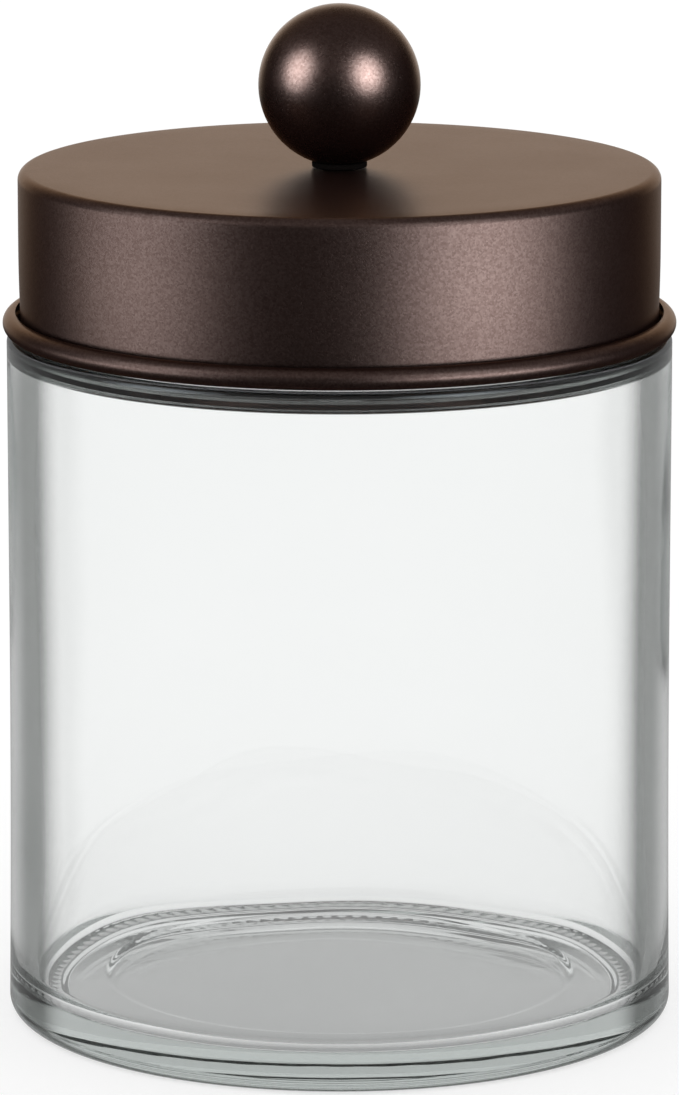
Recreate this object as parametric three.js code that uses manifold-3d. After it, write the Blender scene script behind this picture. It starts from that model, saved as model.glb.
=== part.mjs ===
// Apothecary jar: a straight-sided glass jar closed by a slip-on sheet-steel lid with a ball knob.
// Millimetres, +Z up. The origin is the centre of the base, on the surface that the jar stands on.

import * as THREE from "three";
import { mergeVertices } from "three/addons/utils/BufferGeometryUtils.js";
import Module from "manifold-3d";

const wasm = await Module();
wasm.setup();

// ---------------------------------------------------------------- driving dimensions

const SIDES = 48; // facets round the jar, the lid and the seal
const KNOB_SIDES = 40; // facets round the ball
const FASTENER_SIDES = 24; // facets round the screw and its washers
const AIR = 0.15; // gap left between pieces that rest on each other

const glass = {
  bodyR: 40.0, // outside of the wall under the shoulder
  heelR: 40.4, // outside of the wall just above the base
  flareZ: 50.0, // height where the flare towards the heel starts
  heelRound: 1.8, // rounding between the wall and the base
  bearingInnerR: 35.0, // inner edge of the flat ring that the jar stands on
  pushUp: 0.5, // how far the underside is hollowed
  pushUpR: 33.4, // radius of the flat middle of that hollow
  floorZ: 4.0, // top of the floor along the wall
  dishZ: 3.8, // height of the sunken middle of the floor
  dishR: 27.6, // radius of that middle
  dishSlope: 1.4, // width of the step up from it
  floorRound: 3.0, // rounding between the floor and the inside of the wall
  wallLowR: 37.3, // inside of the wall near the floor
  wallHighR: 36.3, // inside of the wall under the shoulder
  shoulderZ: 83.4, // top of the shoulder
  shoulderRound: 0.8, // rounding between the wall and the shoulder
  neckR: 36.7, // outside of the neck
  neckFillet: 0.6, // fillet between the shoulder and the neck
  mouthR: 33.2, // inside of the neck
  lipRound: 1.3, // rounding of the rim, inside and outside
  bendBaseZ: 80.2, // height where the inside bends in under the shoulder
  bendDeg: 75, // how far it leans in from upright there
  bendLowRound: 0.8, // rounding where the wall starts to lean in
  bendHighRound: 1.0, // rounding where it turns back up into the neck
};

const lid = {
  clearance: 0.25, // from the glass shoulder up to the rolled edge
  height: 19.75, // from the bottom of the rolled edge to the top face
  outerR: 38.5, // outside of the skirt
  sheet: 0.6, // thickness of the steel
  cornerRound: 1.2, // outside rounding of the top edge
  curlR: 1.28, // outside radius of the rolled edge's section
  curlSheet: 0.5, // thickness of the steel in the roll
  curlStartDeg: 195, // where the inside of the roll parts from the skirt, round the roll's own centre
  curlEndDeg: 100, // where the roll ends, past its outermost point
  skirtFoot: 1.54, // where the outside of the skirt meets the roll
  screwHoleR: 2.25,
};

const seal = {
  flange: 1.2, // thickness of the flange pressed between rim and lid
  flangeInnerR: 33.7,
  outerR: 37.7,
  skirt: 0.6, // thickness of the skirt that hangs round the neck
  skirtDrop: 7.2, // how far the skirt hangs under the flange
  chamfer: 0.8, // clears the rounded corner inside the lid
  finR: 36.9, // inner edge of the two fins that steady the lid on the neck
  finHalf: 0.45, // half the height of a fin at its root
  finDrops: [2.2, 5.6], // depth of each fin under the flange
};

const knob = {
  ballR: 9.7,
  ballRise: 10.0, // centre of the ball above the lid
  seatR: 3.3, // washer under the ball
  seatThick: 0.65,
  boreR: 2.1, // hole for the screw
  boreDepth: 8.5,
};

const screw = {
  shankR: 1.95, // M4
  shankLength: 8.6,
  headR: 3.9,
  headHeight: 2.4,
  headRound: 1.1,
  tipChamfer: 0.4,
  recessWidth: 0.9,
  recessReach: 2.1, // from the axis to the end of each arm
  recessDepth: 1.5,
};

const washers = {
  holeR: 2.15,
  flatR: 4.5,
  flatThick: 0.8,
  springR: 3.7,
  springThick: 0.9,
  springSlitDeg: 14,
};

const lidBaseZ = glass.shoulderZ + lid.clearance;
const lidRoof = lid.height - lid.sheet; // underside of the lid's top, above the lid's own base
const sealTop = lidRoof - AIR;
const rimZ = lidBaseZ + sealTop - seal.flange - AIR;

// ---------------------------------------------------------------- materials

function finish(color, roughness, metalness, opacity = 1) {
  return new THREE.MeshStandardMaterial({
    color,
    roughness,
    metalness,
    opacity,
    transparent: opacity < 1,
  });
}

const clearGlass = finish(0xe6efec, 0.04, 0.0, 0.35);
const bronzeLid = finish(0x4a3832, 0.38, 0.85);
const bronzeKnob = finish(0x2b1f1c, 0.28, 0.9);
const silicone = finish(0x252628, 0.55, 0.0);
const blackNylon = finish(0x141312, 0.5, 0.0);
const zincSteel = finish(0xb9bbbd, 0.32, 1.0);

// ---------------------------------------------------------------- shape helpers

const at = (r, z) => new THREE.Vector2(r, z);

// Points of an arc in the section plane. Angles are in degrees: 0 points outwards and 90 points up.
function arc(r, z, radius, fromDeg, toDeg, steps) {
  return Array.from({ length: steps + 1 }, (_, i) => {
    const angle = THREE.MathUtils.degToRad(THREE.MathUtils.lerp(fromDeg, toDeg, i / steps));
    return at(r + radius * Math.cos(angle), z + radius * Math.sin(angle));
  });
}

// A section turned round the Z axis. Its points run anticlockwise: outwards below, inwards above.
function turned(section, sides) {
  return new THREE.LatheGeometry(section, sides).rotateX(Math.PI / 2);
}

// A ring of that section, which closes on itself.
function turnedRing(section, sides) {
  return turned([...section, section[0]], sides);
}

// A rectangular ring that stands on z = 0.
function washerGeometry(innerR, outerR, thick, sides) {
  const section = [at(innerR, 0), at(outerR, 0), at(outerR, thick), at(innerR, thick)];
  return turnedRing(section, sides);
}

function toSolid(geometry) {
  const bare = geometry.clone();
  bare.deleteAttribute("normal");
  bare.deleteAttribute("uv");
  const merged = mergeVertices(bare, 1e-3);
  return new wasm.Manifold(
    new wasm.Mesh({
      numProp: 3,
      vertProperties: new Float32Array(merged.attributes.position.array),
      triVerts: new Uint32Array(merged.index.array),
    }),
  );
}

function toGeometry(solid) {
  const mesh = solid.getMesh();
  const geometry = new THREE.BufferGeometry();
  geometry.setAttribute("position", new THREE.BufferAttribute(mesh.vertProperties, 3));
  geometry.setIndex(new THREE.BufferAttribute(mesh.triVerts, 1));
  geometry.computeVertexNormals();
  return geometry;
}

function piece(name, geometry, material, z = 0) {
  const mesh = new THREE.Mesh(geometry, material);
  mesh.name = name;
  mesh.position.z = z;
  return mesh;
}

// ---------------------------------------------------------------- glass jar

// How tall the bend inside the shoulder is: two arcs with a straight cone between them.
function bendRise() {
  const lean = THREE.MathUtils.degToRad(glass.bendDeg);
  const rounds = glass.bendLowRound + glass.bendHighRound;
  const coneWidth = glass.wallHighR - glass.mouthR - rounds * (1 - Math.cos(lean));
  return rounds * Math.sin(lean) + coneWidth / Math.tan(lean);
}

function jarGlass() {
  const g = glass;
  const bendTopZ = g.bendBaseZ + bendRise();
  const underside = [
    at(0, g.pushUp),
    at(g.pushUpR, g.pushUp),
    at(g.bearingInnerR, 0),
  ];
  const outside = [
    ...arc(g.heelR - g.heelRound, g.heelRound, g.heelRound, -90, 0, 4),
    at(g.bodyR, g.flareZ),
    ...arc(g.bodyR - g.shoulderRound, g.shoulderZ - g.shoulderRound, g.shoulderRound, 0, 90, 4),
    ...arc(g.neckR + g.neckFillet, g.shoulderZ + g.neckFillet, g.neckFillet, 270, 180, 2),
  ];
  const rim = [
    ...arc(g.neckR - g.lipRound, rimZ - g.lipRound, g.lipRound, 0, 90, 3),
    ...arc(g.mouthR + g.lipRound, rimZ - g.lipRound, g.lipRound, 90, 180, 3),
  ];
  const inside = [
    ...arc(g.mouthR + g.bendHighRound, bendTopZ, g.bendHighRound, 180, 180 + g.bendDeg, 3),
    ...arc(g.wallHighR - g.bendLowRound, g.bendBaseZ, g.bendLowRound, g.bendDeg, 0, 3),
    ...arc(g.wallLowR - g.floorRound, g.floorZ + g.floorRound, g.floorRound, 0, -90, 4),
    at(g.dishR + g.dishSlope, g.floorZ),
    at(g.dishR, g.dishZ),
    at(0, g.dishZ),
  ];
  return turned([...underside, ...outside, ...rim, ...inside], SIDES);
}

// ---------------------------------------------------------------- lid

// Heights are above the bottom of the rolled edge.
function lidShell() {
  const innerR = lid.outerR - lid.sheet;
  const innerRound = lid.cornerRound - lid.sheet;
  const curlCentreR = innerR + lid.curlR;
  const curlInside = lid.curlR - lid.curlSheet;
  const roll = arc(curlCentreR, lid.curlR, lid.curlR, 180, 360 + lid.curlEndDeg, 14);
  const rollInside = arc(curlCentreR, lid.curlR, curlInside, 360 + lid.curlEndDeg, lid.curlStartDeg, 9);
  const top = [
    ...arc(lid.outerR - lid.cornerRound, lid.height - lid.cornerRound, lid.cornerRound, 0, 90, 4),
    at(lid.screwHoleR, lid.height),
  ];
  const roof = [
    at(lid.screwHoleR, lidRoof),
    ...arc(innerR - innerRound, lidRoof - innerRound, innerRound, 90, 0, 3),
  ];
  const skirtFoot = at(lid.outerR, lid.skirtFoot);
  return turnedRing([...roll, ...rollInside, skirtFoot, ...top, ...roof], SIDES);
}

// A soft ring: its flange lies between the glass rim and the lid, and its skirt steadies the lid.
// Heights are above the underside of the flange.
function sealRing() {
  const skirtR = seal.outerR - seal.skirt;
  const fin = (drop) => [
    at(skirtR, seal.finHalf - drop),
    at(seal.finR, -drop),
    at(skirtR, -seal.finHalf - drop),
  ];
  const section = [
    at(seal.flangeInnerR, 0),
    at(skirtR, 0),
    ...seal.finDrops.flatMap(fin),
    at(skirtR, -seal.skirtDrop),
    at(seal.outerR, -seal.skirtDrop),
    at(seal.outerR, seal.flange - seal.chamfer),
    at(seal.outerR - seal.chamfer, seal.flange),
    at(seal.flangeInnerR, seal.flange),
  ];
  return turnedRing(section, SIDES);
}

// ---------------------------------------------------------------- knob and its fastening

// Heights are above the lid's top face.
function knobBall() {
  const flatZ = AIR + knob.seatThick + AIR;
  const flatDeg = THREE.MathUtils.radToDeg(Math.asin((flatZ - knob.ballRise) / knob.ballR));
  const section = [
    at(0, flatZ + knob.boreDepth),
    at(knob.boreR, flatZ + knob.boreDepth),
    at(knob.boreR, flatZ),
    ...arc(0, knob.ballRise, knob.ballR, flatDeg, 90, 18),
  ];
  section[section.length - 1].x = 0;
  return turned(section, KNOB_SIDES);
}

// An M4 pan-head screw that points up from inside the lid. Heights are above the head's lower face.
function knobScrew() {
  const s = screw;
  const body = turned(
    [
      at(0, 0),
      ...arc(s.headR - s.headRound, s.headRound, s.headRound, -90, 0, 3),
      at(s.headR, s.headHeight),
      at(s.shankR, s.headHeight),
      at(s.shankR, s.headHeight + s.shankLength - s.tipChamfer),
      at(s.shankR - s.tipChamfer, s.headHeight + s.shankLength),
      at(0, s.headHeight + s.shankLength),
    ],
    FASTENER_SIDES,
  );
  const arm = new THREE.BoxGeometry(2 * s.recessReach, s.recessWidth, 2 * s.recessDepth);
  const cross = toSolid(arm).add(toSolid(arm.clone().rotateZ(Math.PI / 2)));
  return toGeometry(toSolid(body).subtract(cross));
}

// A split ring, cut through on one side.
function springWasher() {
  const half = THREE.MathUtils.degToRad(washers.springSlitDeg / 2);
  const outline = new THREE.Shape();
  outline.absarc(0, 0, washers.springR, half, 2 * Math.PI - half, false);
  outline.absarc(0, 0, washers.holeR, 2 * Math.PI - half, half, true);
  return new THREE.ExtrudeGeometry(outline, {
    depth: washers.springThick,
    bevelEnabled: false,
    curveSegments: FASTENER_SIDES,
  });
}

// ---------------------------------------------------------------- assembly

const flatWasherZ = lidRoof - AIR - washers.flatThick;
const springWasherZ = flatWasherZ - AIR - washers.springThick;
const screwZ = springWasherZ - AIR - screw.headHeight;

const seatWasher = washerGeometry(washers.holeR, knob.seatR, knob.seatThick, FASTENER_SIDES);
const flatWasher = washerGeometry(washers.holeR, washers.flatR, washers.flatThick, FASTENER_SIDES);

const knobGroup = new THREE.Group();
knobGroup.position.z = lid.height;
knobGroup.add(piece("knob_ball", knobBall(), bronzeKnob));
knobGroup.add(piece("knob_seat_washer", seatWasher, blackNylon, AIR));

const lidGroup = new THREE.Group();
lidGroup.position.z = lidBaseZ;
lidGroup.add(piece("lid_shell", lidShell(), bronzeLid));
lidGroup.add(piece("lid_seal_ring", sealRing(), silicone, sealTop - seal.flange));
lidGroup.add(piece("knob_flat_washer", flatWasher, zincSteel, flatWasherZ));
lidGroup.add(piece("knob_spring_washer", springWasher(), zincSteel, springWasherZ));
lidGroup.add(piece("knob_screw", knobScrew(), zincSteel, screwZ));
lidGroup.add(knobGroup);

const jar = new THREE.Group();
jar.add(piece("jar_glass", jarGlass(), clearGlass));
jar.add(lidGroup);

export default jar;
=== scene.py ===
"""The apothecary jar's looks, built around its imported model.

Fine turned meshes stand for the faceted CAD solids, and every piece gets a procedural material.
Sizes are in millimetres; a mesh is scaled to metres as it is made.
"""

import math

import bmesh
import bpy
import numpy as np
from mathutils import Matrix, Vector


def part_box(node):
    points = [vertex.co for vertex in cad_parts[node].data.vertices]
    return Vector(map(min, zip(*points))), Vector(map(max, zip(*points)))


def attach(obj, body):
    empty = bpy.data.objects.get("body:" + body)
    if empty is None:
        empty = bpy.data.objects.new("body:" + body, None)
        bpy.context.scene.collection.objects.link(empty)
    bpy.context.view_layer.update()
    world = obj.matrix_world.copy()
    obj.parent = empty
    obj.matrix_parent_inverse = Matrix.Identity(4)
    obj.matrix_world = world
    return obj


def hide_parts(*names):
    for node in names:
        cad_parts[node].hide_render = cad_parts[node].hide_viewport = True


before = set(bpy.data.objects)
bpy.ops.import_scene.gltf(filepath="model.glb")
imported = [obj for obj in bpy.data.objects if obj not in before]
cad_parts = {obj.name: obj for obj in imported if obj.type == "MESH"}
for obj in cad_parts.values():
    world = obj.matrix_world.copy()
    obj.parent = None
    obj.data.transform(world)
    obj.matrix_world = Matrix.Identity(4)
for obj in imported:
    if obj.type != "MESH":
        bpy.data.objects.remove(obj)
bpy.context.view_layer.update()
SCENE = bpy.context.scene
MM = 0.001


def cad_box(node):
    """The lowest and highest corner of a CAD node, in millimetres."""
    low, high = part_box(node)
    return low / MM, high / MM


GLASS_LOW, GLASS_HIGH = cad_box("jar_glass")
LID_LOW, LID_HIGH = cad_box("lid_shell")
SEAL_LOW, SEAL_HIGH = cad_box("lid_seal_ring")
BALL_LOW, BALL_HIGH = cad_box("knob_ball")
SEAT_LOW, SEAT_HIGH = cad_box("knob_seat_washer")
FLAT_LOW, FLAT_HIGH = cad_box("knob_flat_washer")
SPRING_LOW, SPRING_HIGH = cad_box("knob_spring_washer")
SCREW_LOW, SCREW_HIGH = cad_box("knob_screw")

# ------------------------------------------------------------------ turned shapes


def arc(r, z, radius, from_deg, to_deg, steps=12):
    """Points of an arc in the section plane: 0 degrees points outwards, and 90 points up."""
    angles = np.radians(np.linspace(from_deg, to_deg, steps + 1))
    return [(r + radius * math.cos(a), z + radius * math.sin(a)) for a in angles]


def ease(t):
    """0 to 1 with a soft start and a soft end."""
    t = np.clip(t, 0.0, 1.0)
    return t * t * (3.0 - 2.0 * t)


def slope(from_point, to_point, steps=10):
    """Points of a soft step between two levels."""
    (r0, z0), (r1, z1) = from_point, to_point
    shares = np.linspace(0.0, 1.0, steps + 1)
    return [(r0 + (r1 - r0) * t, z0 + (z1 - z0) * float(ease(t))) for t in shares]


def mesh_object(name, points, faces):
    """An object of these points, in millimetres, and faces, with smooth shading up to 35 degrees."""
    mesh = bpy.data.meshes.new(name)
    mesh.from_pydata((np.asarray(points) * MM).tolist(), [], faces)
    mesh.validate()
    mesh.shade_smooth()
    mesh.set_sharp_from_angle(angle=math.radians(35))
    made = bpy.data.objects.new(name, mesh)
    SCENE.collection.objects.link(made)
    return made


def turned(name, section, sides, ring=False, shape=None):
    """A section turned round the Z axis. It runs outwards below and inwards above.

    A ring's section closes on itself, and any other starts and ends on the axis. shape(r, z, angle)
    gives the radii and heights that differ round the piece.
    """
    radius, height = (np.repeat(v[:, None], sides, 1) for v in np.array(section, float).T)
    angle = np.linspace(0.0, 2 * math.pi, sides, endpoint=False)[None, :]
    if shape:
        radius, height = shape(radius, height, angle)
    points, rows = [], []
    for r, z in zip(radius, height):
        on_axis = not ring and r[0] < 1e-9
        count = 1 if on_axis else sides
        rows.append([len(points) + (0 if on_axis else k) for k in range(sides)])
        points += [(r[k] * math.cos(angle[0, k]), r[k] * math.sin(angle[0, k]), z[k]) for k in range(count)]
    faces = []
    for low, high in zip(rows, rows[1:] + rows[:1] if ring else rows[1:]):
        for k in range(sides):
            after = (k + 1) % sides
            corners = [low[k], low[after], high[after], high[k]]
            faces.append(tuple(dict.fromkeys(corners)))
    return mesh_object(name, points, faces)


# ------------------------------------------------------------------ glass jar

GLASS_SIDES = 540
BEARING_INNER_R = 35.0
HEEL_ROUND = 1.8
FLARE_Z = 50.0
BODY_R = 40.0
SHOULDER_Z = 83.4
SHOULDER_ROUND = 0.8
NECK_R = 36.7
NECK_FILLET = 0.6
MOUTH_R = 33.2
LIP_ROUND = 1.3
PUSH_UP = 0.5
PUSH_UP_R = 33.4
FLOOR_Z = 4.0
FLOOR_ROUND = 3.0
DISH_Z = 3.8
DISH_R = 27.6
DISH_SLOPE = 1.4
WALL_LOW_R = 37.3
WALL_HIGH_R = 36.3
BEND_BASE_Z = 80.2
BEND_DEG = 75
BEND_LOW_ROUND = 0.8
BEND_HIGH_ROUND = 1.0
# The inner wall's slow waves: height, lobes round the wall, phase, and radians of turn for each mm of rise.
WALL_WAVES = ((0.16, 3, 0.9, 0.03), (0.07, 7, 2.1, -0.08), (0.04, 2, 0.0, 0.23))
WAVE_FADE = 12.0
WAVE_FOOT, WAVE_HEAD = FLOOR_Z + 1.0, SHOULDER_Z - 5.0
RIDGES = 108
RIDGE_DEPTH = 0.06
RIDGE_REACH = 2.4


def glass_section():
    heel_r, rim_z = GLASS_HIGH.x, GLASS_HIGH.z
    lean = math.radians(BEND_DEG)
    bend_rounds = BEND_LOW_ROUND + BEND_HIGH_ROUND
    cone_width = WALL_HIGH_R - MOUTH_R - bend_rounds * (1 - math.cos(lean))
    bend_top_z = BEND_BASE_Z + bend_rounds * math.sin(lean) + cone_width / math.tan(lean)
    bearing_outer_r = heel_r - HEEL_ROUND
    underside = [(0.0, PUSH_UP), (PUSH_UP_R / 2, PUSH_UP)]
    underside += slope((PUSH_UP_R, PUSH_UP), (BEARING_INNER_R, 0.0))
    underside += [(r, 0.0) for r in np.linspace(BEARING_INNER_R, bearing_outer_r, 8)[1:-1]]
    heel = arc(bearing_outer_r, HEEL_ROUND, HEEL_ROUND, -90, 0, 14)
    flare = [
        (BODY_R + (heel_r - BODY_R) * (1 - t) ** 2, HEEL_ROUND + (FLARE_Z - HEEL_ROUND) * t)
        for t in np.linspace(0, 1, 13)[1:]
    ]
    shoulder = arc(BODY_R - SHOULDER_ROUND, SHOULDER_Z - SHOULDER_ROUND, SHOULDER_ROUND, 0, 90, 12)
    neck = arc(NECK_R + NECK_FILLET, SHOULDER_Z + NECK_FILLET, NECK_FILLET, 270, 180, 6)
    rim = arc(NECK_R - LIP_ROUND, rim_z - LIP_ROUND, LIP_ROUND, 0, 90, 8)
    rim += arc(MOUTH_R + LIP_ROUND, rim_z - LIP_ROUND, LIP_ROUND, 90, 180, 8)
    inside = arc(MOUTH_R + BEND_HIGH_ROUND, bend_top_z, BEND_HIGH_ROUND, 180, 180 + BEND_DEG, 12)
    inside += arc(WALL_HIGH_R - BEND_LOW_ROUND, BEND_BASE_Z, BEND_LOW_ROUND, BEND_DEG, 0, 16)
    floor_top = FLOOR_Z + FLOOR_ROUND
    inside += [
        (
            WALL_HIGH_R + (WALL_LOW_R - WALL_HIGH_R) * float(ease(t)),
            BEND_BASE_Z + (floor_top - BEND_BASE_Z) * t,
        )
        for t in np.linspace(0, 1, 25)[1:-1]
    ]
    inside += arc(WALL_LOW_R - FLOOR_ROUND, floor_top, FLOOR_ROUND, 0, -90, 12)
    inside += slope((DISH_R + DISH_SLOPE, FLOOR_Z), (DISH_R, DISH_Z), 6)
    inside += [(DISH_R / 2, DISH_Z), (0.0, DISH_Z)]
    return underside + heel + flare + shoulder + neck + rim + inside


def glass_shape(r, z, angle):
    """The slow unevenness inside a moulded wall, and the ridges under the bearing ring."""
    inside = (r > MOUTH_R + 1) & (r < WALL_LOW_R + 0.2) & (z > WAVE_FOOT) & (z < WAVE_HEAD)
    fade = ease((z - WAVE_FOOT) / WAVE_FADE) * ease((WAVE_HEAD - z) / WAVE_FADE)
    wave = sum(
        size * np.sin(lobes * angle + phase + twist * z) for size, lobes, phase, twist in WALL_WAVES
    )
    r = r + np.where(inside, fade * wave, 0.0)
    middle = (BEARING_INNER_R + GLASS_HIGH.x - HEEL_ROUND) / 2
    across = 1 - ease(abs(r - middle) / RIDGE_REACH)
    ridge = (0.5 - 0.5 * np.cos(RIDGES * angle)) * across * RIDGE_DEPTH
    under = (z < PUSH_UP - 0.1) & (r > BEARING_INNER_R - 1)
    return r, np.where(under, z + ridge, z)


def build_glass():
    jar = turned("glass_body", glass_section(), GLASS_SIDES, shape=glass_shape)
    return dress(jar, "jar", "clear_glass", clear_glass(), "jar_glass")


# ------------------------------------------------------------------ lid

LID_SIDES = 256
LID_R = 38.5
SHEET = 0.6
LID_CORNER = 1.2
CURL_R = 1.28
CURL_SHEET = 0.5
CURL_END_DEG = 100
NECK_IN, NECK_IN_HEIGHT = 0.2, 9.0  # how the skirt draws in a little towards its hem
SCREW_HOLE_R = 2.25


def lid_section():
    base, top = LID_LOW.z, LID_HIGH.z
    inner_r, inner_round = LID_R - SHEET, LID_CORNER - SHEET
    curl_r = inner_r + CURL_R
    section = arc(curl_r, base + CURL_R, CURL_R, 180, 360 + CURL_END_DEG, 40)
    section += arc(curl_r, base + CURL_R, CURL_R - CURL_SHEET, 360 + CURL_END_DEG, 195, 30)
    foot = base + CURL_R * 1.2
    section += [
        (LID_R - NECK_IN * max(0.0, 1 - (z - foot) / NECK_IN_HEIGHT) ** 2, z)
        for z in np.linspace(foot, top - LID_CORNER, 24)[:-1]
    ]
    section += arc(LID_R - LID_CORNER, top - LID_CORNER, LID_CORNER, 0, 90, 12)
    section += [(r, top) for r in np.linspace(LID_R - LID_CORNER, SCREW_HOLE_R, 12)[1:]]
    section += [(r, top - SHEET) for r in np.linspace(SCREW_HOLE_R, inner_r - inner_round, 12)[:-1]]
    section += arc(inner_r - inner_round, top - SHEET - inner_round, inner_round, 90, 0, 8)
    return section


def build_lid():
    cap = turned("lid_cap", lid_section(), LID_SIDES, ring=True)
    coat = bronze("lid_bronze_coat", LID_STRENGTH, LID_ROUGHNESS, LID_EDGE)
    return dress(cap, "lid", "lid_bronze", coat, "lid_shell")


SEAL_INNER_R = 33.7
SEAL_SKIRT, SEAL_FLANGE = 0.6, 1.2  # thicknesses
SEAL_CHAMFER = 0.8
FLANGE_ROUND, HEM_ROUND = 0.3, 0.2
FIN_R, FIN_HALF, FIN_BLUNT = 36.9, 0.45, 0.1
FIN_DROPS = (2.2, 5.6)  # below the flange


def seal_section():
    outer_r, top, bottom = SEAL_HIGH.x, SEAL_HIGH.z, SEAL_LOW.z
    skirt_r, flange_z = outer_r - SEAL_SKIRT, top - SEAL_FLANGE
    inner_round_r = SEAL_INNER_R + FLANGE_ROUND
    section = arc(inner_round_r, flange_z + FLANGE_ROUND, FLANGE_ROUND, 180, 270, 5)
    section += [(skirt_r, flange_z)]
    for drop in FIN_DROPS:
        z, blunt_r = flange_z - drop, FIN_R + FIN_BLUNT
        section += [(skirt_r, z + FIN_HALF), (blunt_r, z + FIN_BLUNT), (FIN_R, z)]
        section += [(blunt_r, z - FIN_BLUNT), (skirt_r, z - FIN_HALF)]
    section += arc(skirt_r + HEM_ROUND, bottom + HEM_ROUND, HEM_ROUND, 180, 270, 4)
    section += arc(outer_r - HEM_ROUND, bottom + HEM_ROUND, HEM_ROUND, 270, 360, 4)
    section += [(outer_r, top - SEAL_CHAMFER), (outer_r - SEAL_CHAMFER, top)]
    section += arc(inner_round_r, top - FLANGE_ROUND, FLANGE_ROUND, 90, 180, 5)
    return section


def build_seal():
    seal = turned("lid_gasket", seal_section(), LID_SIDES, ring=True)
    return dress(seal, "seal", "seal_silicone", silicone(), "lid_seal_ring")


# ------------------------------------------------------------------ knob and its fastening

KNOB_SIDES = 192
FASTENER_SIDES = 96
BORE_R = 2.1
BORE_DEPTH = 8.5
BORE_CONE = 1.0  # height of the drill's cone at the end of the bore
WASHER_HOLE_R = 2.15
WASHER_EDGE = 0.12
SLIT_DEG = 14


def build_ball():
    radius, flat_z = BALL_HIGH.x, BALL_LOW.z
    centre_z = BALL_HIGH.z - radius
    flat_deg = math.degrees(math.asin((flat_z - centre_z) / radius))
    bore_z = flat_z + BORE_DEPTH
    section = [(0.0, bore_z + BORE_CONE), (BORE_R, bore_z), (BORE_R, flat_z)]
    section += arc(0.0, centre_z, radius, flat_deg, 90, 96)
    section[-1] = (0.0, BALL_HIGH.z)
    ball = turned("knob_sphere", section, KNOB_SIDES)
    coat = bronze("knob_bronze_coat", KNOB_STRENGTH, KNOB_ROUGHNESS, KNOB_EDGE)
    return dress(ball, "lid", "knob_bronze", coat, "knob_ball")


def washer_section(low, high):
    """A flat ring's section with softened edges, which fills a CAD washer's box."""
    inner_r, outer_r = WASHER_HOLE_R + WASHER_EDGE, high.x - WASHER_EDGE
    bottom, top = low.z + WASHER_EDGE, high.z - WASHER_EDGE
    section = arc(inner_r, bottom, WASHER_EDGE, 180, 270, 3)
    section += arc(outer_r, bottom, WASHER_EDGE, 270, 360, 3)
    section += arc(outer_r, top, WASHER_EDGE, 0, 90, 3)
    section += arc(inner_r, top, WASHER_EDGE, 90, 180, 3)
    return section


def build_seat():
    section = washer_section(SEAT_LOW, SEAT_HIGH)
    seat = turned("knob_seat", section, FASTENER_SIDES, ring=True)
    dress(seat, "lid", "seat_nylon", nylon(), "knob_seat_washer")


def build_flat_washer():
    section = washer_section(FLAT_LOW, FLAT_HIGH)
    flat = turned("screw_flat_washer", section, FASTENER_SIDES, ring=True)
    dress(flat, "lid", "zinc_steel", zinc("flat_washer_zinc"), "knob_flat_washer")


def build_spring_washer():
    """A ring that is cut through on one side, with its two ends apart."""
    corners = washer_section(SPRING_LOW, SPRING_HIGH)
    angles = np.radians(np.linspace(SLIT_DEG / 2, 360 - SLIT_DEG / 2, FASTENER_SIDES))
    points = [(r * math.cos(a), r * math.sin(a), z) for a in angles for r, z in corners]
    count = len(corners)
    faces = []
    for i in range(len(angles) - 1):
        for k in range(count):
            after = (k + 1) % count
            row, up = i * count, (i + 1) * count
            faces.append((row + k, up + k, up + after, row + after))
    last = (len(angles) - 1) * count
    faces.append(tuple(range(count)))
    faces.append(tuple(last + k for k in reversed(range(count))))
    ring = mesh_object("screw_spring_washer", points, faces)
    dress(ring, "lid", "zinc_steel", zinc("spring_washer_zinc"), "knob_spring_washer")


HEAD_HEIGHT = 2.4
HEAD_ROUND = 1.1
HEAD_Z = SCREW_LOW.z + HEAD_HEIGHT  # where the shank leaves the head
SHANK_R = 1.95
TIP_CHAMFER = 0.4
THREAD_PITCH = 0.7
THREAD_DEPTH = 0.38
THREAD_START = HEAD_Z + 0.5
THREAD_FADE = 0.6
THREAD_ROWS = 8  # rows of points in each turn of the thread
RECESS_REACH, RECESS_WIDTH, RECESS_DEPTH = 2.1, 0.9, 1.5
RECESS_TAPER = 0.62


def screw_thread(r, z, angle):
    """Cuts a helical M4 thread into the shank."""
    turn = (z / THREAD_PITCH - angle / (2 * math.pi)) % 1.0
    groove = THREAD_DEPTH * (1 - abs(2 * turn - 1)) * ease((z - THREAD_START) / THREAD_FADE)
    on_shank = (z > THREAD_START) & (r > SHANK_R - 0.05)
    return np.where(on_shank, r - groove, r), z


def build_screw():
    base, tip, head_r = SCREW_LOW.z, SCREW_HIGH.z, SCREW_HIGH.x
    thread_rows = np.arange(HEAD_Z + 0.1, tip - TIP_CHAMFER, THREAD_PITCH / THREAD_ROWS)
    section = [(0.0, base), (head_r - HEAD_ROUND - 0.4, base)]
    section += arc(head_r - HEAD_ROUND, base + HEAD_ROUND, HEAD_ROUND, -90, 0, 12)
    section += [(head_r, HEAD_Z), (SHANK_R, HEAD_Z)]
    section += [(SHANK_R, z) for z in thread_rows]
    section += [(SHANK_R - TIP_CHAMFER, tip), (0.0, tip)]
    screw = turned("pan_head_screw", section, FASTENER_SIDES, shape=screw_thread)
    cutter = cross_cutter(base)
    cut = screw.modifiers.new("cross_recess", "BOOLEAN")
    cut.operation, cut.object, cut.solver = "DIFFERENCE", cutter, "EXACT"
    cut.use_self = True  # the two blades cross
    bpy.context.view_layer.update()
    graph = bpy.context.evaluated_depsgraph_get()
    screw.data = bpy.data.meshes.new_from_object(screw.evaluated_get(graph))
    screw.modifiers.clear()
    bpy.data.objects.remove(cutter)
    dress(screw, "lid", "zinc_steel", zinc("screw_zinc"), "knob_screw")


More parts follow.
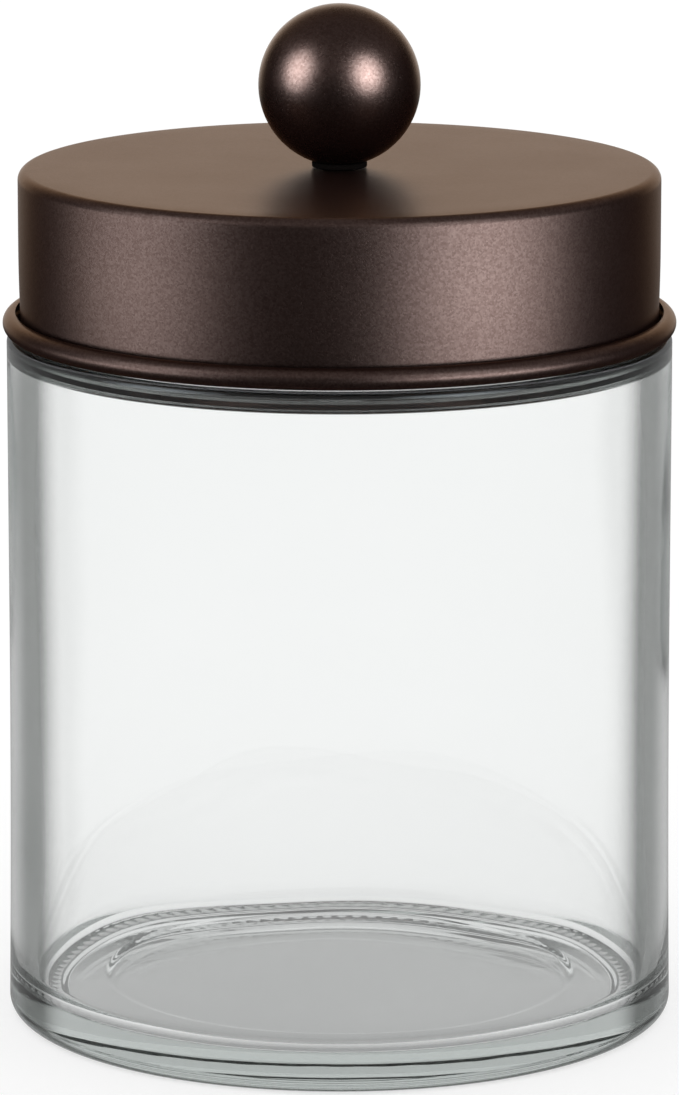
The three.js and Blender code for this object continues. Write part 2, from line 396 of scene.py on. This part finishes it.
def cross_cutter(base):
    """A cross of two blades that taper towards the bottom of the recess."""
    tool = bmesh.new()
    for turn in (0, 90):
        blade = bmesh.ops.create_cube(tool, size=1.0)["verts"]
        for v in blade:
            outer = v.co.z < 0
            share = 1.0 if outer else RECESS_TAPER
            x, y = v.co.x * 2 * RECESS_REACH * share, v.co.y * RECESS_WIDTH * share
            z = base - 0.5 if outer else base + RECESS_DEPTH
            v.co = Vector((x, y, z)) * MM
        bmesh.ops.rotate(tool, verts=blade, matrix=Matrix.Rotation(math.radians(turn), 3, "Z"))
    mesh = bpy.data.meshes.new("cross_cutter")
    tool.to_mesh(mesh)
    tool.free()
    cutter = bpy.data.objects.new("cross_cutter", mesh)
    SCENE.collection.objects.link(cutter)
    return cutter


# ------------------------------------------------------------------ materials


def feed(tree, socket, value):
    """Links an output to a socket, or sets the socket to a plain value."""
    if hasattr(value, "is_output"):
        tree.links.new(value, socket)
    else:
        socket.default_value = value


def add_node(tree, kind, inputs=None, **settings):
    node = tree.nodes.new(kind)
    for key, value in settings.items():
        setattr(node, key, value)
    for key, value in (inputs or {}).items():
        feed(tree, node.inputs[key], value)
    return node


def smooth_step(tree, value, low, high):
    """0 up to low, 1 from high on, and a soft slope between."""
    inputs = {"Value": value, "From Min": low, "From Max": high}
    return add_node(tree, "ShaderNodeMapRange", inputs, interpolation_type="SMOOTHSTEP").outputs["Result"]


class Nodes:
    """A new material's node tree, with its Principled shader."""

    def __init__(self, name):
        self.material = bpy.data.materials.new(name)
        self.material.use_nodes = True
        self.tree = self.material.node_tree
        self.shader = self.tree.nodes["Principled BSDF"]
        self.output = self.tree.nodes["Material Output"]
        self.place = self.add("ShaderNodeTexCoord").outputs["Object"]

    def add(self, kind, inputs=None, **settings):
        return add_node(self.tree, kind, inputs, **settings)

    def set(self, **values):
        """Sets or links the shader's sockets, named with _ for a space."""
        for key, value in values.items():
            feed(self.tree, self.shader.inputs[key.replace("_", " ")], value)

    def noise(self, size_mm, detail=2.0, roughness=0.5):
        """Noise whose features are about this size, from 0 to 1."""
        inputs = {"Vector": self.place, "Scale": 1 / (size_mm * MM), "Detail": detail, "Roughness": roughness}
        return self.add("ShaderNodeTexNoise", inputs).outputs["Fac"]

    def cells(self, size_mm):
        """A random value for each grain of about this size."""
        inputs = {"Vector": self.place, "Scale": 1 / (size_mm * MM)}
        found = self.add("ShaderNodeTexVoronoi", inputs)
        return self.add("ShaderNodeSeparateColor", {"Color": found.outputs["Color"]}).outputs["Red"]

    def ramp(self, value, low, high):
        """Takes a value from 0..1 to low..high."""
        inputs = {"Value": value, "To Min": low, "To Max": high}
        return self.add("ShaderNodeMapRange", inputs).outputs["Result"]

    def step(self, value, low, high):
        return smooth_step(self.tree, value, low, high)

    def radius(self):
        """How far a point is from the jar's axis, in metres."""
        flat = self.add("ShaderNodeVectorMath", {0: self.place, 1: (1.0, 1.0, 0.0)}, operation="MULTIPLY")
        return self.add("ShaderNodeVectorMath", {0: flat.outputs[0]}, operation="LENGTH").outputs["Value"]

    def mix(self, factor, first, second):
        inputs = {"Factor": factor, "A": first, "B": second}
        node = self.add("ShaderNodeMix", data_type="RGBA")
        for key, value in inputs.items():
            socket = [s for s in node.inputs if s.name == key and s.enabled][0]
            feed(self.tree, socket, value)
        return [s for s in node.outputs if s.enabled][0]

    def math(self, operation, first, second):
        inputs = {0: first, 1: second}
        return self.add("ShaderNodeMath", inputs, operation=operation).outputs[0]

    def bump(self, height, depth_mm, strength=1.0):
        inputs = {"Height": height, "Distance": depth_mm * MM, "Strength": strength}
        return self.add("ShaderNodeBump", inputs).outputs["Normal"]


BRONZE_TONES = ((0.06, 0.035, 0.029), (0.165, 0.112, 0.098), (0.11, 0.066, 0.055))  # dark, pale, warm
FLAKE_MM, GRAIN_MM, CLOUD_MM = 0.22, 0.45, 9.0
LID_STRENGTH, LID_ROUGHNESS, LID_EDGE = 0.64, 0.36, (0.66, 0.545, 0.455)
KNOB_STRENGTH, KNOB_ROUGHNESS, KNOB_EDGE = 0.4, 0.28, (0.74, 0.64, 0.56)


def bronze(name, strength, roughness, edge_tint):
    """Satin brown bronze coating: fine flakes between a dark and a pale tone, with warmer clouds."""
    n = Nodes(name)
    dark, pale, warm = ((*(v * strength for v in tone), 1) for tone in BRONZE_TONES)
    flake = n.cells(FLAKE_MM)
    cloud = n.noise(CLOUD_MM, 3.0)
    grain = n.noise(GRAIN_MM, 3.0, 0.7)
    tone = n.math("ADD", n.math("MULTIPLY", flake, 0.5), n.math("MULTIPLY", grain, 0.5))
    base = n.mix(n.ramp(cloud, 0.0, 0.3), n.mix(tone, dark, pale), warm)
    rough = n.math("ADD", n.ramp(cloud, roughness - 0.02, roughness + 0.02), n.ramp(grain, -0.03, 0.03))
    height = n.math("ADD", n.math("MULTIPLY", flake, 0.4), grain)
    n.set(Base_Color=base, Metallic=1.0, Roughness=rough, Normal=n.bump(height, 0.008))
    n.set(Specular_Tint=(*edge_tint, 1))
    n.set(Sheen_Weight=0.015, Sheen_Roughness=1.0, Sheen_Tint=(1.0, 0.35, 0.28, 1))
    return n.material


# Painted shade: the shoulder's round on the outer face, beyond this radius and above this height, is tinted
# near black.
SKIN_R = (38.0 * MM, 39.0 * MM)  # the outer face lies beyond this radius
LEDGE_SHADE_Z = (82.5 * MM, 82.9 * MM)  # and the shoulder's dark round above this height
# Tints of the glass: clear, the painted shade where it is seen edge on, and the painted shade on the
# shoulder.
CLEAR_TINT, EDGE_SHADE_TINT, LEDGE_SHADE_TINT = (0.98, 0.985, 0.983, 1), (0.09, 0.096, 0.092, 1), (0.01, 0.01, 0.011, 1)
# Painted shade: the wall is tinted grey where it turns away from view, standing in for dark reflections at
# the glass's edges, and pales again at the very edge.
GREY_FROM, PALE_FROM = (0.46, 0.6), (0.68, 0.92)  # how far the wall turns away where it greys, then pales
INSIDE_SHARE = 0.2  # of the greying, on the inner face


def clear_glass():
    """Soda-lime glass: clear, faintly grey-green in depth, with painted shade: greyer where it is seen edge
    on, and near black on the shoulder's outer round.
    """
    n = Nodes("clear_soda_lime_glass")
    ripple = n.noise(14.0, 1.0)
    facing = n.add("ShaderNodeLayerWeight", {"Blend": 0.5}).outputs["Facing"]
    outside = n.step(n.radius(), *SKIN_R)
    height = n.add("ShaderNodeSeparateXYZ", {"Vector": n.place}).outputs["Z"]
    # painted shade: a near-black tint on the shoulder's outer round
    ledge_shade = n.math("MULTIPLY", n.step(height, *LEDGE_SHADE_Z), outside)
    paler = n.ramp(n.step(facing, *PALE_FROM), 0.0, 0.5)
    # painted shade: grey where the wall is seen edge on, less of it on the inner face
    edge = n.math("SUBTRACT", n.step(facing, *GREY_FROM), paler)
    edge = n.math("MULTIPLY", edge, n.ramp(outside, INSIDE_SHARE, 1.0))
    tint = n.mix(ledge_shade, n.mix(edge, CLEAR_TINT, EDGE_SHADE_TINT), LEDGE_SHADE_TINT)
    n.set(Base_Color=tint, Transmission_Weight=1.0, IOR=1.52, Metallic=0.0)
    n.set(Roughness=0.0, Normal=n.bump(ripple, 0.05, 0.35))
    inputs = {"Color": (0.922, 0.93, 0.927, 1), "Density": 100.0}
    depth = n.add("ShaderNodeVolumeAbsorption", inputs)
    n.tree.links.new(depth.outputs["Volume"], n.output.inputs["Volume"])
    return n.material


def silicone():
    """Black silicone rubber with the faint bloom that it takes on."""
    n = Nodes("black_silicone")
    haze = n.noise(4.0, 2.0)
    base = n.mix(haze, (0.018, 0.019, 0.021, 1), (0.036, 0.037, 0.04, 1))
    n.set(Base_Color=base, Roughness=n.ramp(haze, 0.45, 0.6), Normal=n.bump(n.noise(0.4), 0.01))
    return n.material


def nylon():
    """Matt black nylon, finely grained."""
    n = Nodes("black_nylon")
    grain = n.noise(0.3, 3.0)
    base = n.mix(grain, (0.007, 0.006, 0.006, 1), (0.014, 0.012, 0.011, 1))
    n.set(Base_Color=base, Roughness=n.ramp(grain, 0.7, 0.85), Normal=n.bump(grain, 0.01))
    n.set(Specular_IOR_Level=0.0)
    return n.material


def zinc(name):
    """Bright zinc plate with a faint yellow-blue bloom and fine scratches."""
    n = Nodes(name)
    bloom = n.noise(2.2, 2.0)
    scratch = n.noise(0.12, 4.0, 0.8)
    base = n.mix(bloom, (0.62, 0.66, 0.72, 1), (0.72, 0.7, 0.64, 1))
    rough = n.math("ADD", n.ramp(bloom, 0.22, 0.32), n.ramp(scratch, -0.05, 0.05))
    n.set(Base_Color=base, Metallic=1.0, Roughness=rough, Normal=n.bump(scratch, 0.008))
    return n.material


def dress(piece, body, slot, material, *nodes):
    """Gives a piece its material, and ties it to its CAD body and nodes."""
    piece.data.materials.clear()
    piece.data.materials.append(material)
    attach(piece, body)
    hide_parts(*nodes)
    return piece


# ------------------------------------------------------------------ studio

AIM_HEIGHT = 56.9  # where the view's centre meets the jar's axis
CAMERA_DISTANCE = 812.2
CAMERA_ELEVATION_DEG = 12.08
LENS_MM, SENSOR_MM = 220.5, 36.0
CLIP_END = 50.0  # metres
FLOOR_R = 6000.0
FLOOR_SIDES = 96
FLOOR_GAP = 0.05  # keeps the floor just clear of the ring that the jar stands on
# Painted shadow: the floor glows less under the jar, inside this radius.
SHADE_R = (34.0 * MM, 40.4 * MM)  # the floor's soft step from the shade under the jar to the open floor
SHADE_GLOW, OPEN_GLOW = 0.28, 0.68


def aim_at(piece, target):
    direction = Vector(target) - piece.location
    piece.rotation_euler = direction.to_track_quat("-Z", "Y").to_euler()


def around(azimuth_deg, elevation_deg, distance_mm, height_mm=AIM_HEIGHT):
    """A place seen from the jar at that azimuth, counted from the camera's side towards +X."""
    a, e = math.radians(azimuth_deg), math.radians(elevation_deg)
    out = Vector((math.sin(a) * math.cos(e), -math.cos(a) * math.cos(e), math.sin(e)))
    return out * distance_mm * MM + Vector((0.0, 0.0, height_mm * MM))


def build_camera():
    data = bpy.data.cameras.new("camera")
    data.sensor_fit = "VERTICAL"
    data.sensor_height = SENSOR_MM
    data.lens = LENS_MM
    data.clip_end = CLIP_END
    camera = bpy.data.objects.new("camera", data)
    camera.location = around(0, CAMERA_ELEVATION_DEG, CAMERA_DISTANCE)
    aim_at(camera, (0.0, 0.0, AIM_HEIGHT * MM))
    SCENE.collection.objects.link(camera)
    SCENE.camera = camera


SOFTBOX_DISTANCE = 1000.0
SOFTBOX_LAYERS = (0.38, 0.68, 1.0)
LAYER_GAP = 10.0  # no two lights lie in one plane
SOFTBOX_COLOUR = (0.9, 1.0, 1.06)
GLASS_BOUNCES, GLOSSY_BOUNCES = 48, 32


def build_softbox(name, azimuth_deg, elevation_deg, width_mm, height_mm, watts, only=None):
    """A round soft box for reflections only, brightest in its middle, which lights all pieces or one.

    Layers of three sizes make it. Those for one piece stand behind the others, clear of them.
    """
    nearest = SOFTBOX_DISTANCE + (len(SOFTBOX_LAYERS) * LAYER_GAP if only else 0.0)
    for layer, share in enumerate(SOFTBOX_LAYERS):
        data = bpy.data.lights.new(f"{name}_{layer + 1}", "AREA")
        data.shape = "ELLIPSE"
        data.size = width_mm * share * MM
        data.size_y = height_mm * share * MM
        data.energy = watts * share**2
        data.color = SOFTBOX_COLOUR
        box = bpy.data.objects.new(data.name, data)
        distance = nearest + layer * LAYER_GAP
        box.location = around(azimuth_deg, elevation_deg, distance, LID_HIGH.z)
        aim_at(box, (0.0, 0.0, LID_HIGH.z * MM))
        box.visible_diffuse = False
        box.visible_transmission = False
        box.visible_camera = False
        SCENE.collection.objects.link(box)
        if only:
            lit = bpy.data.collections.new(f"{data.name}_lights")
            lit.objects.link(only)
            box.light_linking.receiver_collection = lit


def build_floor():
    """A pale disc that glows softly, with a painted shadow under the jar where it glows less."""
    mesh = bpy.data.meshes.new("floor")
    radius, z = FLOOR_R * MM, -FLOOR_GAP * MM
    angles = np.linspace(0, 2 * math.pi, FLOOR_SIDES, endpoint=False)
    rim = [(radius * math.cos(a), radius * math.sin(a), z) for a in angles]
    mesh.from_pydata(rim, [], [tuple(range(len(rim)))])
    floor = bpy.data.objects.new("floor", mesh)
    SCENE.collection.objects.link(floor)
    n = Nodes("pale_floor")
    tone = n.noise(60.0, 2.0)
    n.set(Base_Color=n.mix(tone, (0.36, 0.36, 0.36, 1), (0.38, 0.38, 0.38, 1)), Roughness=0.0)
    n.set(Specular_IOR_Level=0.0, Emission_Color=(1.0, 1.0, 1.0, 1))
    # painted shadow: less glow under the jar
    n.set(Emission_Strength=n.ramp(n.step(n.radius(), *SHADE_R), SHADE_GLOW, OPEN_GLOW))
    mesh.materials.append(n.material)
    floor.visible_glossy = False
    floor.visible_shadow = False


# How bright the studio is in satin reflections.
DARK_GLOW = 0.01
SIDE_WALL_GLOW, BACK_WALL_GLOW = 0.02, 1.9
CEILING_GLOW = 0.42
GLASS_STUDIO_GLOW = 0.4  # all of it, in the mirror reflections of the glass
DIFFUSE_LIFT = 0.15


def build_world():
    """White all round, and in reflections a dark studio with a bright back wall and a dim ceiling."""
    world = bpy.data.worlds.new("studio")
    world.use_nodes = True
    world.cycles.sampling_method = "NONE"
    SCENE.world = world
    tree = world.node_tree
    tree.nodes.clear()

    def calc(operation, *values):
        inputs = dict(enumerate(values))
        return add_node(tree, "ShaderNodeMath", inputs, operation=operation).outputs[0]

    def blend(share, first, second):
        inputs = {0: share, 2: first, 3: second}
        return add_node(tree, "ShaderNodeMix", inputs, data_type="FLOAT").outputs[0]

    direction = add_node(tree, "ShaderNodeTexCoord").outputs["Generated"]
    xyz = add_node(tree, "ShaderNodeSeparateXYZ", {"Vector": direction}).outputs
    above_foot = smooth_step(tree, xyz["Z"], -0.26, -0.02)
    below_top = calc("SUBTRACT", 1.0, smooth_step(tree, xyz["Z"], 0.35, 0.6))
    at_back = smooth_step(tree, xyz["Y"], 0.7, 0.95)
    wall_glow = calc("MULTIPLY_ADD", at_back, BACK_WALL_GLOW, SIDE_WALL_GLOW)
    wall = calc("MULTIPLY", calc("MULTIPLY", above_foot, below_top), wall_glow)
    overhead = smooth_step(tree, xyz["Z"], 0.28, 0.5)
    satin = calc("ADD", calc("MULTIPLY_ADD", overhead, CEILING_GLOW, DARK_GLOW), wall)
    path = add_node(tree, "ShaderNodeLightPath").outputs
    reflected = blend(path["Is Singular Ray"], satin, GLASS_STUDIO_GLOW)
    mirrored = calc("SUBTRACT", path["Is Glossy Ray"], path["Is Transmission Ray"])
    plain = calc("MULTIPLY_ADD", path["Is Diffuse Ray"], DIFFUSE_LIFT, 1.0)
    shine = add_node(tree, "ShaderNodeBackground", {"Strength": blend(mirrored, plain, reflected)})
    output = add_node(tree, "ShaderNodeOutputWorld")
    tree.links.new(shine.outputs[0], output.inputs["Surface"])


def build_studio(lid, ball):
    build_camera()
    build_floor()
    build_world()
    build_softbox("left_softbox", -66, 21, 880, 1000, 2.5)
    build_softbox("right_softbox", 43, 20, 880, 980, 2.6)
    build_softbox("left_knob_light", -66, 21, 880, 1000, 18.0, ball)
    build_softbox("right_knob_light", 43, 20, 880, 980, 22.0, ball)
    build_softbox("left_skirt_light", -75, -8, 1400, 500, 3.0, lid)
    build_softbox("right_skirt_light", 51, -8, 1400, 500, 5.8, lid)
    SCENE.view_settings.view_transform = "Standard"
    SCENE.cycles.max_bounces = GLASS_BOUNCES
    SCENE.cycles.transmission_bounces = GLASS_BOUNCES
    SCENE.cycles.glossy_bounces = GLOSSY_BOUNCES


build_glass()
lid_cap = build_lid()
build_seal()
knob_sphere = build_ball()
build_seat()
build_flat_washer()
build_spring_washer()
build_screw()
build_studio(lid_cap, knob_sphere)
